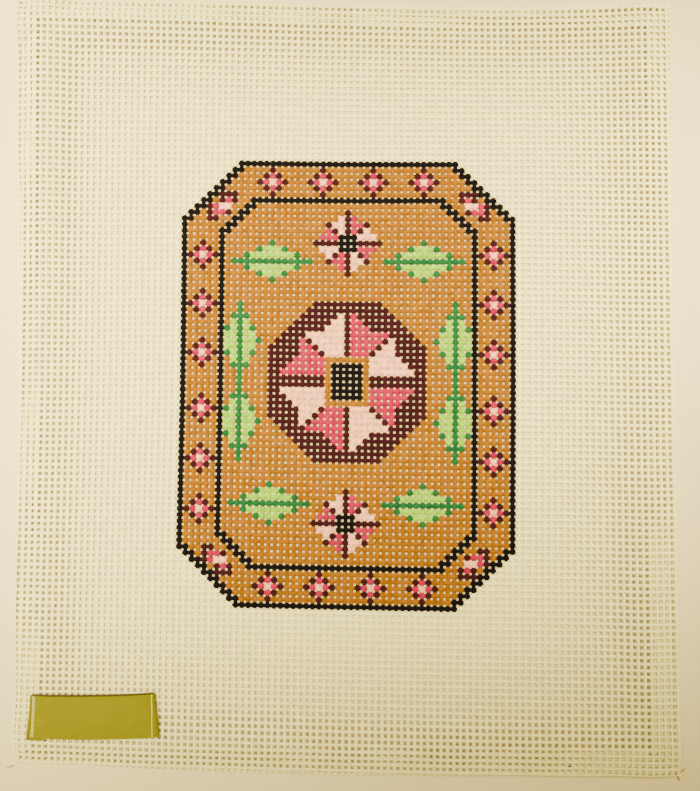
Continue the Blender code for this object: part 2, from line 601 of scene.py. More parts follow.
@dataclass(frozen=True)
class PaintedSampler:
    """A traditional geometric sampler, worked out stitch by stitch by rule.

    A leaf's place is how many stitches right of the panel's middle and below it the leaf of that
    quarter lies.
    """

    columns: int = 53
    rows: int = 72
    first_column: int = 26
    first_row: int = 26
    corner_cut: int = 9
    border: int = 5
    lozenge_pitch: int = 8
    lozenge_ring: int = 3
    star_radius: int = 11
    star_bluntness: float = 0.7
    ground_margin: int = 6
    small_star_radius: int = 5
    small_star_offset: int = 22
    leaf_reach: int = 6
    end_leaf: tuple[int, int] = (12, 19)
    side_leaf: tuple[int, int] = (17, 6)

    def from_edge(self, column: int, row: int) -> tuple[int, int]:
        """How many stitches a stitch lies from the design's nearer side and its nearer end."""
        return min(column, self.columns - 1 - column), min(row, self.rows - 1 - row)

    def ring(self, column: int, row: int) -> int:
        """How many stitches inside the design's outline a stitch lies, below 0 outside it."""
        across, down = self.from_edge(column, row)
        return min(across, down, (across + down - self.corner_cut) * 3 // 4)

    def border_paint(self, column: int, row: int, ring: int) -> Paint:
        """Colour of a stitch in the border, a chain of lozenges.

        Args:
            column: Stitch across, from 0.
            row: Stitch down, from 0.
            ring: The stitch's ring.

        Returns:
            The colour.
        """
        across, down = self.from_edge(column, row)
        along = self.columns // 2 - across if down < across else self.rows // 2 - 1 - down
        off_middle = abs(along % self.lozenge_pitch - self.lozenge_pitch // 2)
        shape = off_middle + abs(ring - self.lozenge_ring)
        return {0: Paint.BLUSH, 1: Paint.ROSE, 2: Paint.MAROON}.get(shape, Paint.OCHRE)

    def star_paint(self, dx: int, dy: int, radius: int) -> Paint | None:
        """Colour of a stitch of an eight-pointed star with faceted points.

        Args:
            dx: Stitches right of the star's middle.
            dy: Stitches below it.
            radius: The star's reach.

        Returns:
            The colour, or None outside the star.
        """
        wide, narrow = max(abs(dx), abs(dy)), min(abs(dx), abs(dy))
        if wide + narrow > radius and wide > radius * self.star_bluntness:
            return None
        if wide <= radius // 5:
            return Paint.UMBER
        if wide <= radius // 3:
            return Paint.OCHRE
        if narrow == 0 or wide == narrow:
            return Paint.MAROON
        return Paint.ROSE if (abs(dx) > abs(dy)) == (dx * dy > 0) else Paint.BLUSH

    def leaf_paint(self, along: int, aside: int) -> Paint | None:
        """Colour of a stitch of a leaf.

        Args:
            along: Stitches from the leaf's middle along it.
            aside: Stitches from its middle line.

        Returns:
            The colour, or None outside the leaf.
        """
        reach = abs(along) + 2 * abs(aside)
        if reach > self.leaf_reach:
            return None
        return Paint.LEAF if aside == 0 or reach == self.leaf_reach else Paint.SPRING

    def field_paint(self, column: int, row: int) -> Paint:
        """Colour of a stitch of the field inside the border.

        Args:
            column: Stitch across, from 0.
            row: Stitch down, from 0.

        Returns:
            The colour.
        """
        dx = column - self.columns // 2
        dy = row - self.rows // 2 + (1 if row < self.rows // 2 else 0)
        star = self.star_paint(dx, dy, self.star_radius)
        if star:
            return star
        slant, wide = abs(dx) + abs(dy), max(abs(dx), abs(dy))
        if slant <= self.star_radius + self.ground_margin and wide <= self.star_radius + 1:
            return Paint.MAROON
        for side in (-1, 1):
            motif = (
                self.star_paint(dx, dy - side * self.small_star_offset, self.small_star_radius)
                or self.leaf_paint(abs(dx) - self.end_leaf[0], dy - side * self.end_leaf[1])
                or self.leaf_paint(dy - side * self.side_leaf[1], abs(dx) - self.side_leaf[0])
            )
            if motif:
                return motif
        return Paint.OCHRE

    def paint_at(self, column: int, row: int) -> Paint:
        """Colour of the crossing of two threads.

        Args:
            column: The upright thread's number on the canvas.
            row: The cross thread's number on the canvas.

        Returns:
            The colour.
        """
        column, row = column - self.first_column, row - self.first_row
        ring = self.ring(column, row)
        if ring < 0:
            return Paint.BARE
        if ring in (0, self.border + 1):
            return Paint.UMBER
        if ring <= self.border:
            return self.border_paint(column, row, ring)
        return self.field_paint(column, row)

    def table(self, columns: range, rows: range) -> tuple[Array, Array]:
        """The design as a table over the canvas's threads.

        Args:
            columns: The upright threads' numbers.
            rows: The cross threads' numbers.

        Returns:
            Linear colours by column and row, and 1 where a crossing is painted.
        """
        paints = [[self.paint_at(column, row) for row in rows] for column in columns]
        colours = np.array([[linear(paint.value)[:3] for paint in line] for line in paints])
        painted = np.array([[float(paint is not Paint.BARE) for paint in line] for line in paints])
        return colours, painted


# ---- Finishes -----------------------------------------------------------------------------------


@dataclass(frozen=True, kw_only=True)
class Finish:
    """What the finishes share: a pattern, a fine relief and a dull surface."""

    name: str
    roughness: float = 0.6
    specular: float = 0.5
    relief_strength: float = 0.3
    relief_mm: float = 0.05

    def pattern(self, tree: Tree, place: Socket) -> tuple[Socket, Socket]:
        """Draws the surface.

        Args:
            tree: The material's nodes.
            place: Object coordinates.

        Returns:
            The colour and the height of the relief.
        """
        raise NotImplementedError

    def make(self) -> bpy.types.Material:
        """Makes the material.

        Returns:
            The material.
        """
        made = bpy.data.materials.new(self.name)
        made.use_nodes = True
        tree = made.node_tree
        shader = tree.nodes["Principled BSDF"]
        colour, height = self.pattern(tree, add_node(tree, "ShaderNodeTexCoord").outputs["Object"])
        bump = add_node(
            tree,
            "ShaderNodeBump",
            {"Height": height, "Strength": self.relief_strength, "Distance": self.relief_mm * MM},
        )
        tree.links.new(colour, shader.inputs["Base Color"])
        tree.links.new(bump.outputs["Normal"], shader.inputs["Normal"])
        shader.inputs["Roughness"].default_value = self.roughness
        shader.inputs["Specular IOR Level"].default_value = self.specular
        return made


@dataclass(frozen=True, kw_only=True)
class CanvasCotton(Finish):
    """Sized cotton thread, bare or brushed with paint: stiff and matt, with almost no gloss."""

    name: str = "sized_cotton_thread"
    roughness: float = 0.8
    specular: float = 0.05
    relief_strength: float = 0.35
    relief_mm: float = 0.08
    bare: str = Paint.BARE.value
    # Colour of the painted shade in the dips, and of the random mottle.
    bare_shade: str = "#D9CC98"
    dip_shade: float = 0.15
    mottle_shade: float = 0.25
    mottle_mm: float = 3.8462
    streak_mm: float = 1.4286
    fibre_mm: float = 0.1923
    # How much the paint is darkened where a thread dips: painted shade.
    paint_dip_shade: float = 0.8

    def pattern(self, tree: Tree, place: Socket) -> tuple[Socket, Socket]:
        """Draws the bare cotton and, over it, the paint that is stored on the faces.

        Args:
            tree: The material's nodes.
            place: Object coordinates.

        Returns:
            The colour and the height of the relief.
        """
        paint = add_node(tree, "ShaderNodeAttribute", attribute_name="paint").outputs
        bob = add_node(tree, "ShaderNodeAttribute", attribute_name="bob").outputs["Fac"]
        mottle, streak, fibre = (
            add_node(
                tree, "ShaderNodeTexNoise", {"Vector": place, "Scale": per_metre(size), "Detail": detail}
            ).outputs["Fac"]
            for size, detail in ((self.mottle_mm, 3.0), (self.streak_mm, 4.0), (self.fibre_mm, 2.0))
        )
        # Painted shade: the bare cotton is darkened where a thread dips under another, and the floats over
        # the top stay light.
        painted_dip_shade = add_node(
            tree,
            "ShaderNodeMapRange",
            {"Value": bob, "From Min": -1.0, "From Max": 0.6, "To Min": self.dip_shade, "To Max": 0.0},
        )
        tone = add_node(
            tree,
            "ShaderNodeMapRange",
            {"Value": mottle, "From Min": 0.35, "From Max": 0.7, "To Max": self.mottle_shade},
        )
        shade = add_node(tree, "ShaderNodeMath", {0: painted_dip_shade, 1: tone}, operation="ADD", use_clamp=True)
        cotton = add_node(
            tree,
            "ShaderNodeMix",
            {"Factor": shade, "A": linear(self.bare), "B": linear(self.bare_shade)},
            data_type="RGBA",
        )
        # Brushed paint is thinner and paler in streaks, and is darkened where the thread dips: painted
        # shade.
        paler = add_node(
            tree,
            "ShaderNodeMapRange",
            {"Value": streak, "From Min": 0.3, "From Max": 0.7, "To Min": 0.75, "To Max": 1.3},
        )
        streaks_and_dip_shade = add_node(
            tree, "ShaderNodeMath", {0: painted_dip_shade, 1: -self.paint_dip_shade, 2: paler}, operation="MULTIPLY_ADD"
        )
        brushed = add_node(
            tree, "ShaderNodeVectorMath", {0: paint["Color"], "Scale": streaks_and_dip_shade}, operation="SCALE"
        )
        colour = add_node(
            tree,
            "ShaderNodeMix",
            {"Factor": paint["Alpha"], "A": cotton.outputs["Result"], "B": brushed},
            data_type="RGBA",
        )
        # Fine fibres roughen the light on each thread.
        return colour.outputs["Result"], fibre


@dataclass(frozen=True, kw_only=True)
class RibbonWeave(Finish):
    """Woven ribbon of the label: close cross ribs, which take the light in soft lines."""

    name: str = "woven_ribbon"
    specular: float = 0.04
    relief_strength: float = 0.5
    relief_mm: float = 0.1
    face: str = "#787600"
    # Colour of the painted shade in the rib valleys.
    valley_shade: str = "#686600"
    # Colour of the painted shade on the ends past the seams.
    past_seam: str = "#666400"
    past_seam_shade: float = 0.7
    rib_pitch_mm: float = 0.55
    warp_pitch_mm: float = 0.42
    mottle_mm: float = 3.3333

    def pattern(self, tree: Tree, place: Socket) -> tuple[Socket, Socket]:
        """Draws the ribs and the warp, and a darker colour on the doubled ends past the seams, which is
        painted shade.

        Args:
            tree: The material's nodes.
            place: Object coordinates.

        Returns:
            The colour and the height of the relief.
        """
        ribs, warp = (
            add_node(
                tree,
                "ShaderNodeTexWave",
                {"Vector": place, "Scale": WAVE_REPEAT * per_metre(pitch), "Distortion": 0.6, "Detail": 1.0},
                wave_type="BANDS",
                bands_direction=direction,
            ).outputs["Fac"]
            for direction, pitch in (("Y", self.rib_pitch_mm), ("X", self.warp_pitch_mm))
        )
        weave = add_node(tree, "ShaderNodeMath", {0: ribs, 1: warp}, operation="MULTIPLY")
        mottle = add_node(
            tree, "ShaderNodeTexNoise", {"Vector": place, "Scale": per_metre(self.mottle_mm), "Detail": 3.0}
        ).outputs["Fac"]
        # Painted shade: the valleys of the ribs and the warp take the darker colour, with random mottle over
        # it.
        rib_shade_and_mottle = add_node(tree, "ShaderNodeMath", {0: weave, 1: mottle}, operation="ADD", use_clamp=True)
        colour = add_node(
            tree,
            "ShaderNodeMix",
            {"Factor": rib_shade_and_mottle, "A": linear(self.valley_shade), "B": linear(self.face)},
            data_type="RGBA",
        )
        # Painted shade: the ends past the seams are darkened.
        ends = add_node(tree, "ShaderNodeAttribute", attribute_name="past_seam").outputs["Fac"]
        darker = add_node(tree, "ShaderNodeMath", {0: ends, 1: self.past_seam_shade}, operation="MULTIPLY")
        shaded = add_node(
            tree,
            "ShaderNodeMix",
            {"Factor": darker, "A": colour.outputs["Result"], "B": linear(self.past_seam)},
            data_type="RGBA",
        )
        return shaded.outputs["Result"], weave.outputs[0]


@dataclass(frozen=True, kw_only=True)
class SewingThread(Finish):
    """Fine twisted thread, whose twist is drawn as slanting bands of painted highlight and shade."""

    # The twist's painted highlight, then its painted shade.
    light: str
    dark: str
    twist_mm: float = 0.34907

    def pattern(self, tree: Tree, place: Socket) -> tuple[Socket, Socket]:
        """Draws the twist as bands of painted highlight and shade.

        Args:
            tree: The material's nodes.
            place: Object coordinates.

        Returns:
            The colour and the height of the relief.
        """
        twist = add_node(
            tree,
            "ShaderNodeTexWave",
            {"Vector": place, "Scale": WAVE_REPEAT * per_metre(self.twist_mm), "Distortion": 1.5},
            wave_type="BANDS",
            bands_direction="DIAGONAL",
        ).outputs["Fac"]
        colour = add_node(
            tree,
            "ShaderNodeMix",
            {"Factor": twist, "A": linear(self.dark), "B": linear(self.light)},
            data_type="RGBA",
        )
        return colour.outputs["Result"], twist


# ---- The canvas ---------------------------------------------------------------------------------


class Way(IntEnum):
    """The two directions of the threads."""

    UPRIGHT = 0
    CROSS = 1


@dataclass
class ThreadPaths:
    """Middle lines of many threads, ready to go into a mesh of edges."""

    lines: dict[str, list[Array]] = field(default_factory=dict)

    def add(self, **values: Array) -> None:
        """Adds a line: the place of its points, and what else they carry, by name."""
        for name, value in values.items():
            self.lines.setdefault(name, []).append(value)

    def mesh(self) -> Mesh:
        """Joins the lines into one mesh of edges with what the nodes need on its vertices.

        Returns:
            The mesh.
        """
        joined = {name: np.concatenate(values) for name, values in self.lines.items()}
        places = joined.pop("place")
        last = np.cumsum([len(line) for line in self.lines["place"]]) - 1
        first = np.setdiff1d(np.arange(len(places)), last)
        data = bpy.data.meshes.new("thread_paths")
        data.from_pydata(places.tolist(), np.stack([first, first + 1], axis=1).tolist(), [])
        for name, values in joined.items():
            put_attribute(data, name, values)
        return data


@dataclass(frozen=True)
class WeavePull:
    """How handling has pulled the weave out of true, in thread pitches.

    Each table gives five stations from the left to the right in five lines from the top to the
    bottom.
    """

    rightward: tuple[tuple[float, ...], ...] = (
        (0.75, 0.8, 0.6, 0.15, -0.2),
        (0.9, 0.6, 0.45, 0.35, -0.15),
        (0.95, 0.4, 0.2, 0.2, -0.15),
        (0.6, -0.1, -0.15, -0.15, -0.05),
        (0.2, -0.3, -0.5, -0.35, 0.05),
    )
    downward: tuple[tuple[float, ...], ...] = (
        (-0.2, 0.05, 0.5, 0.7, 0.05),
        (0.45, 0.2, 0.1, -0.2, -0.2),
        (0.25, -0.25, -0.3, -0.45, -0.5),
        (-0.05, -0.25, -0.2, -0.25, -0.5),
        (-0.3, 0.0, 0.15, 0.15, 0.0),
    )
    last_column: float = 104.0
    last_row: float = 124.0

    def at(self, column: Array, row: Array) -> tuple[Array, Array]:
        """The pull at places on the canvas.

        Args:
            column: Places across, counted in threads.
            row: Places down, counted in threads.

        Returns:
            The pull to the right and down, in pitches.
        """
        across = station_weights(len(self.rightward[0]), column / self.last_column)
        down = station_weights(len(self.rightward), row / self.last_row)
        right, low = (
            np.einsum("ij,jk,ik->i", down, np.array(table), across)
            for table in (self.rightward, self.downward)
        )
        return right, low


@dataclass
class WovenCanvas:
    """The canvas, thread by thread, in bands that run across the panel.

    Upright threads are numbered from the left and cross threads from the top. The hem's own have
    numbers below 0 and past those that show.
    """

    cloth: FoldedCloth = field(default_factory=FoldedCloth)
    design: PaintedSampler = field(default_factory=PaintedSampler)
    pull: WeavePull = field(default_factory=WeavePull)
    column_pitch: float = 1.9538 * MM
    row_pitch: float = 1.9216 * MM
    middle_column: float = 51.8 - 0.25 / 1.9538
    middle_row: float = 60.9 - 0.1 / 1.9216
    columns: range = range(-3, 108)
    rows: range = range(-3, 127)
    band_edges: tuple[float, ...] = (-3.5, 22.5, 48.5, 74.5, 100.5, 126.5)
    fine_step: float = 0.25  # in threads, near a fold, and twice that elsewhere
    fold_margin: float = 0.5 * MM
    fray_range: tuple[float, float] = (0.2, 0.9)  # in threads, past the last one crossed
    thread_width: float = 1.04 * MM
    thread_thickness: float = 0.42 * MM
    crimp_height: float = 0.03 * MM
    seat: float = -0.01 * MM
    painted_girth: float = 1.34
    thread_sides: int = 6
    waver: float = 0.07 * MM
    waver_scale: float = 75.0  # a thread wanders about once in 13 mm
    waver_spread: tuple[float, float, float] = (2.5, 2.5, 0.4)
    slub: float = 0.14
    slub_scale: float = 240.0  # and thickens about once in 4 mm
    seed: int = 13
    thread_seed_step: float = 5.3
    way_seed_step: float = 611.0
    sharp_deg: float = 80.0

    def thread_line(self, way: Way, number: int, low: float, high: float) -> list[Array]:
        """Splits one thread into the stretches that are there, as counts of threads crossed.

        Args:
            way: The thread's direction.
            number: The thread's number.
            low: Where the thread starts, counted in threads.
            high: Where it ends.

        Returns:
            One array of counts for each stretch.
        """
        first = math.ceil(low / self.fine_step) * self.fine_step
        counts = np.concatenate([[low], np.arange(first, high + HAIR, self.fine_step), [high]])
        counts = np.unique(counts.round(4))
        across, level = self.flat(way, number, counts)
        past = self.cloth.beyond(across, level).max(axis=0)
        bend_length = math.pi * self.cloth.bend_radius
        near_fold = (past > -self.fold_margin) & (past < bend_length + self.fold_margin)
        steps = counts / (2 * self.fine_step)
        ends = (counts == counts[0]) | (counts == counts[-1])
        used = (np.abs(steps - steps.round()) < HAIR) | near_fold | ends
        there = self.cloth.uncut(across, level)[used]
        breaks = np.flatnonzero(np.diff(there)) + 1
        stretches = zip(np.split(counts[used], breaks), np.split(there, breaks))
        return [stretch for stretch, uncut in stretches if uncut[0] and len(stretch) > 1]

    def flat(self, way: Way, number: int, counts: Array) -> tuple[Array, Array]:
        """Where points of a thread lie on the flat cloth.

        Args:
            way: The thread's direction.
            number: The thread's number.
            counts: Places along it, counted in threads.

        Returns:
            Places along the rows and up the columns.
        """
        fixed = np.full_like(counts, number, dtype=float)
        column, row = (fixed, counts) if way is Way.UPRIGHT else (counts, fixed)
        right, low = self.pull.at(column, row)
        across = (column + right - self.middle_column) * self.column_pitch
        return across, (self.middle_row - row - low) * self.row_pitch

    def table_spot(
        self, way: Way | Array, number: int | Array, counts: Array
    ) -> tuple[Array, Array]:
        """Finds the crossings nearest to places on threads in the design's table.

        Args:
            way: The threads' directions.
            number: The threads' numbers.
            counts: Places along them, counted in threads.

        Returns:
            The table's columns and rows.
        """
        crossed = np.rint(counts).astype(int)
        column = np.where(way == Way.UPRIGHT, number, crossed)
        row = np.where(way == Way.UPRIGHT, crossed, number)
        return (
            np.clip(column, self.columns[0], self.columns[-1]) - self.columns[0],
            np.clip(row, self.rows[0], self.rows[-1]) - self.rows[0],
        )

    def add_threads(self, paths: ThreadPaths, way: Way, low: float, high: float, painted: Array) -> None:
        """Adds the threads of one direction to a band's paths.

        Args:
            paths: The band's paths.
            way: The threads' direction.
            low: The band's first row edge.
            high: Its last row edge.
            painted: 1 where a crossing is painted, by column and row.
        """
        loose = np.random.default_rng(self.seed + 7 * way)
        numbers = self.columns if way is Way.UPRIGHT else self.rows
        frays = loose.uniform(*self.fray_range, (len(numbers), 2))
        for number, (fray_low, fray_high) in zip(numbers, frays):
            if way is Way.UPRIGHT:
                start = low if low > self.rows[0] else self.rows[0] - fray_low
                stop = high if high < self.rows[-1] else self.rows[-1] + fray_high
            elif low < number < high:
                start, stop = self.columns[0] - fray_low, self.columns[-1] + fray_high
            else:
                continue
            sign = (1 if way is Way.UPRIGHT else -1) * (-1) ** number
            for counts in self.thread_line(way, number, start, stop):
                place, face = self.cloth.place(*self.flat(way, number, counts))
                dab = painted[self.table_spot(way, number, counts)]
                paths.add(
                    place=place,
                    face=face,
                    bob=sign * np.cos(math.pi * counts),
                    along=counts,
                    number=np.full(len(counts), float(number)),
                    way=np.full(len(counts), float(way)),
                    girth=1 + (self.painted_girth - 1) * dab,
                )

    def thread_tree(self, values: Values) -> Tree:
        """Builds the nodes that turn paths into crimped, slightly uneven threads.

        Args:
            values: What the tree's inputs will be given.

        Returns:
            The Geometry Nodes tree.
        """
        tree, given = start_tree("crimped_threads", "Paths", values)
        place = add_node(tree, "GeometryNodeInputPosition")
        face, bob, number, way, girth = (
            add_node(
                tree,
                "GeometryNodeInputNamedAttribute",
                {"Name": name},
                data_type="FLOAT_VECTOR" if name == "face" else "FLOAT",
            ).outputs["Attribute"]
            for name in ("face", "bob", "number", "way", "girth")
        )
        lines = add_node(tree, "GeometryNodeMeshToCurve", {"Mesh": given["Paths"]})
        turned = add_node(
            tree, "GeometryNodeSetCurveNormal", {"Curve": lines, "Normal": face}, mode="FREE"
        )

        crimp = add_node(tree, "ShaderNodeMath", {0: bob, 1: given["Crimp Height"]}, operation="MULTIPLY")
        over_under = add_node(tree, "ShaderNodeVectorMath", {0: face, "Scale": crimp}, operation="SCALE")
        low = add_node(
            tree, "ShaderNodeVectorMath", {0: (0.0, 0.0, -1.0), "Scale": given["Seat"]}, operation="SCALE"
        )
        seated = add_node(tree, "ShaderNodeVectorMath", {0: over_under, 1: low}, operation="ADD")

        # Each thread has a noise of its own, which bends it and makes it uneven.
        own = add_node(
            tree,
            "ShaderNodeMath",
            {0: number, 1: self.thread_seed_step, 2: given["Seed"]},
            operation="MULTIPLY_ADD",
        )
        apart = add_node(
            tree, "ShaderNodeMath", {0: way, 1: self.way_seed_step, 2: own}, operation="MULTIPLY_ADD"
        )
        wander, uneven = (
            add_node(
                tree,
                "ShaderNodeTexNoise",
                {"Vector": place, "W": apart, "Scale": scale, "Detail": detail},
                noise_dimensions="4D",
            ).outputs
            for scale, detail in ((self.waver_scale, 1.0), (self.slub_scale, 2.0))
        )
        centred = add_node(
            tree, "ShaderNodeVectorMath", {0: wander["Color"], 1: (0.5, 0.5, 0.5)}, operation="SUBTRACT"
        )
        flatter = add_node(
            tree, "ShaderNodeVectorMath", {0: centred, 1: self.waver_spread}, operation="MULTIPLY"
        )
        wobble = add_node(
            tree, "ShaderNodeVectorMath", {0: flatter, "Scale": given["Waver"]}, operation="SCALE"
        )
        offset = add_node(tree, "ShaderNodeVectorMath", {0: seated, 1: wobble}, operation="ADD")
        moved = add_node(tree, "GeometryNodeSetPosition", {"Geometry": turned, "Offset": offset})
        swing = add_node(tree, "ShaderNodeMath", {0: uneven["Fac"], 1: 0.5}, operation="SUBTRACT")
        slub = add_node(
            tree, "ShaderNodeMath", {0: swing, 1: given["Slub"], 2: 1.0}, operation="MULTIPLY_ADD"
        )
        stout = add_node(tree, "ShaderNodeMath", {0: slub, 1: girth}, operation="MULTIPLY")
        sized = add_node(tree, "GeometryNodeSetCurveRadius", {"Curve": moved, "Radius": stout})

        ring = add_node(
            tree, "GeometryNodeCurvePrimitiveCircle", {"Resolution": given["Thread Sides"], "Radius": 0.5}
        )
        section = add_node(
            tree,
            "ShaderNodeCombineXYZ",
            {"X": given["Thread Thickness"], "Y": given["Thread Width"], "Z": 1.0},
        )
        oval = add_node(tree, "GeometryNodeTransform", {"Geometry": ring, "Scale": section})
        spun = add_node(
            tree,
            "GeometryNodeCurveToMesh",
            {"Curve": sized, "Profile Curve": oval, "Fill Caps": True, "Scale": stout},
        )
        end_tree(tree, spun, given["Finish"])
        return tree

    def paint_faces(self, data: Mesh, colours: Array, painted: Array) -> None:
        """Gives each face the paint of the crossing that it belongs to.

        Args:
            data: A band's mesh.
            colours: Linear colours by column and row.
            painted: 1 where a crossing is painted.
        """
        starts, totals = (get_numbers(data.polygons, name) for name in ("loop_start", "loop_total"))
        corners = get_numbers(data.loops, "vertex_index")
        way, number, counts = (
            np.add.reduceat(get_numbers(data.attributes[name].data, "value", np.float32)[corners], starts)
            for name in ("way", "number", "along")
        )
        way, number = (np.rint(row / totals).astype(int) for row in (way, number))
        spot = self.table_spot(way, number, counts / totals)
        stored = data.attributes.new("paint", "FLOAT_COLOR", "FACE")
        values = np.concatenate([colours[spot], painted[spot][:, None]], axis=1)
        stored.data.foreach_set("color", values.astype(np.float32).ravel())

    def build(self, floor: Object) -> list[Object]:
        """Args:
            floor: What the canvas lies on; not used.

        Returns:
            The bands.
        """
        values = {
            "Thread Width": self.thread_width,
            "Thread Thickness": self.thread_thickness,
            "Crimp Height": self.crimp_height,
            "Seat": self.seat,
            "Waver": self.waver,
            "Slub": self.slub,
            "Thread Sides": self.thread_sides,
            "Seed": float(self.seed),
            "Finish": CanvasCotton().make(),
        }
        tree = self.thread_tree(values)
        colours, painted = self.design.table(self.columns, self.rows)
        made = []
        for low, high in zip(self.band_edges, self.band_edges[1:]):
            paths = ThreadPaths()
            for way in Way:
                self.add_threads(paths, way, low, high, painted)
            band = run_nodes(f"canvas_weave_{len(made) + 1}", paths.mesh(), tree, values)
            self.paint_faces(band.data, colours, painted)
            plan_map(band.data)
            band.data.set_sharp_from_angle(angle=math.radians(self.sharp_deg))
            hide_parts("canvas")
            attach(band, "root")
            made.append(band)
        return made


# ---- Stitches and the label ---------------------------------------------------------------------


@dataclass(frozen=True)
class LabelOutline:
    """Where the label lies on the panel, in millimetres from the panel's middle.

    Both long edges sag between the sewn ends.
    """

    top_left: tuple[float, float] = (-94.45, -95.3)
    top_right: tuple[float, float] = (-57.2, -94.95)
    bottom_left: tuple[float, float] = (-95.4, -107.7)
    bottom_right: tuple[float, float] = (-55.5, -107.5)
    top_sag: float = 0.5
    bottom_sag: float = 0.6

    def at(self, along: Array, up: Array) -> tuple[Array, Array]:
        """Finds points of the label on the panel.

        Args:
            along: How far along the label, from -1 at the left end to 1 at the right end.
            up: How far up it, from 0 to 1.

        Returns:
            Places across and up the panel, in metres.
        """
        right = (1 + along) / 2
        corners = zip(self.bottom_left, self.bottom_right, self.top_left, self.top_right)
        x, y = (
            (1 - up) * ((1 - right) * low_left + right * low_right)
            + up * ((1 - right) * high_left + right * high_right)
            for low_left, low_right, high_left, high_right in corners
        )
        sag = (1 - along**2) * (self.bottom_sag + (self.top_sag - self.bottom_sag) * up)
        return x * MM, (y - sag) * MM


@dataclass(frozen=True)
class RunningStitches:
    """Short stitches that arch over what they hold, made by Geometry Nodes."""

    length: float
    thickness: float
    arch: float
    thread_sides: int = 6
    arch_steps: int = 6

    def tree(self, values: Values) -> Tree:
        """Builds the nodes that put one arched stitch on each point, turned along its row.

        Args:
            values: What the tree's inputs will be given.

        Returns:
            The Geometry Nodes tree.
        """
        tree, given = start_tree("running_stitches", "Places", values)
        ahead, behind, radius, foot = (
            add_node(tree, "ShaderNodeMath", {0: given[name], 1: share}, operation="MULTIPLY")
            for name, share in (
                ("Stitch Length", 0.5),
                ("Stitch Length", -0.5),
                ("Thread Thickness", 0.5),
                ("Arch", -1.0),
            )
        )
        start = add_node(tree, "ShaderNodeCombineXYZ", {"X": behind, "Z": foot})
        top = add_node(tree, "ShaderNodeCombineXYZ", {"Z": given["Arch"]})
        end = add_node(tree, "ShaderNodeCombineXYZ", {"X": ahead, "Z": foot})
        line = add_node(
            tree,
            "GeometryNodeCurveQuadraticBezier",
            {"Resolution": given["Arch Steps"], "Start": start, "Middle": top, "End": end},
        )
        ring = add_node(
            tree, "GeometryNodeCurvePrimitiveCircle", {"Resolution": given["Thread Sides"], "Radius": radius}
        )
        strand = add_node(
            tree, "GeometryNodeCurveToMesh", {"Curve": line, "Profile Curve": ring, "Fill Caps": True}
        )
        way = add_node(
            tree, "GeometryNodeInputNamedAttribute", {"Name": "way"}, data_type="FLOAT_VECTOR"
        ).outputs["Attribute"]
        turned = add_node(tree, "FunctionNodeAlignRotationToVector", {"Vector": way}, axis="X")
        placed = add_node(
            tree,
            "GeometryNodeInstanceOnPoints",
            {"Points": given["Places"], "Instance": strand, "Rotation": turned},
        )
        end_tree(tree, placed, given["Finish"])
        return tree

    def build(self, name: str, places: Array, ways: Array, finish: bpy.types.Material) -> Object:
        """Sews stitches at the places given.

        Args:
            name: Name of the new object.
            places: Middles of the stitches.
            ways: The direction of each stitch.
            finish: The thread's material.

        Returns:
            An object with all the stitches.
        """
        data = bpy.data.meshes.new(name)
        data.from_pydata(places.tolist(), [], [])
        put_attribute(data, "way", ways)
        values = {
            "Stitch Length": self.length,
            "Thread Thickness": self.thickness,
            "Arch": self.arch,
            "Thread Sides": self.thread_sides,
            "Arch Steps": self.arch_steps,
            "Finish": finish,
        }
        return run_nodes(name, data, self.tree(values), values)


@dataclass(frozen=True)
class Seam:
    """One row of stitches across the label, by how far along and up the label it runs."""

    start: tuple[float, float]
    end: tuple[float, float]
    stray: float
    seed: int


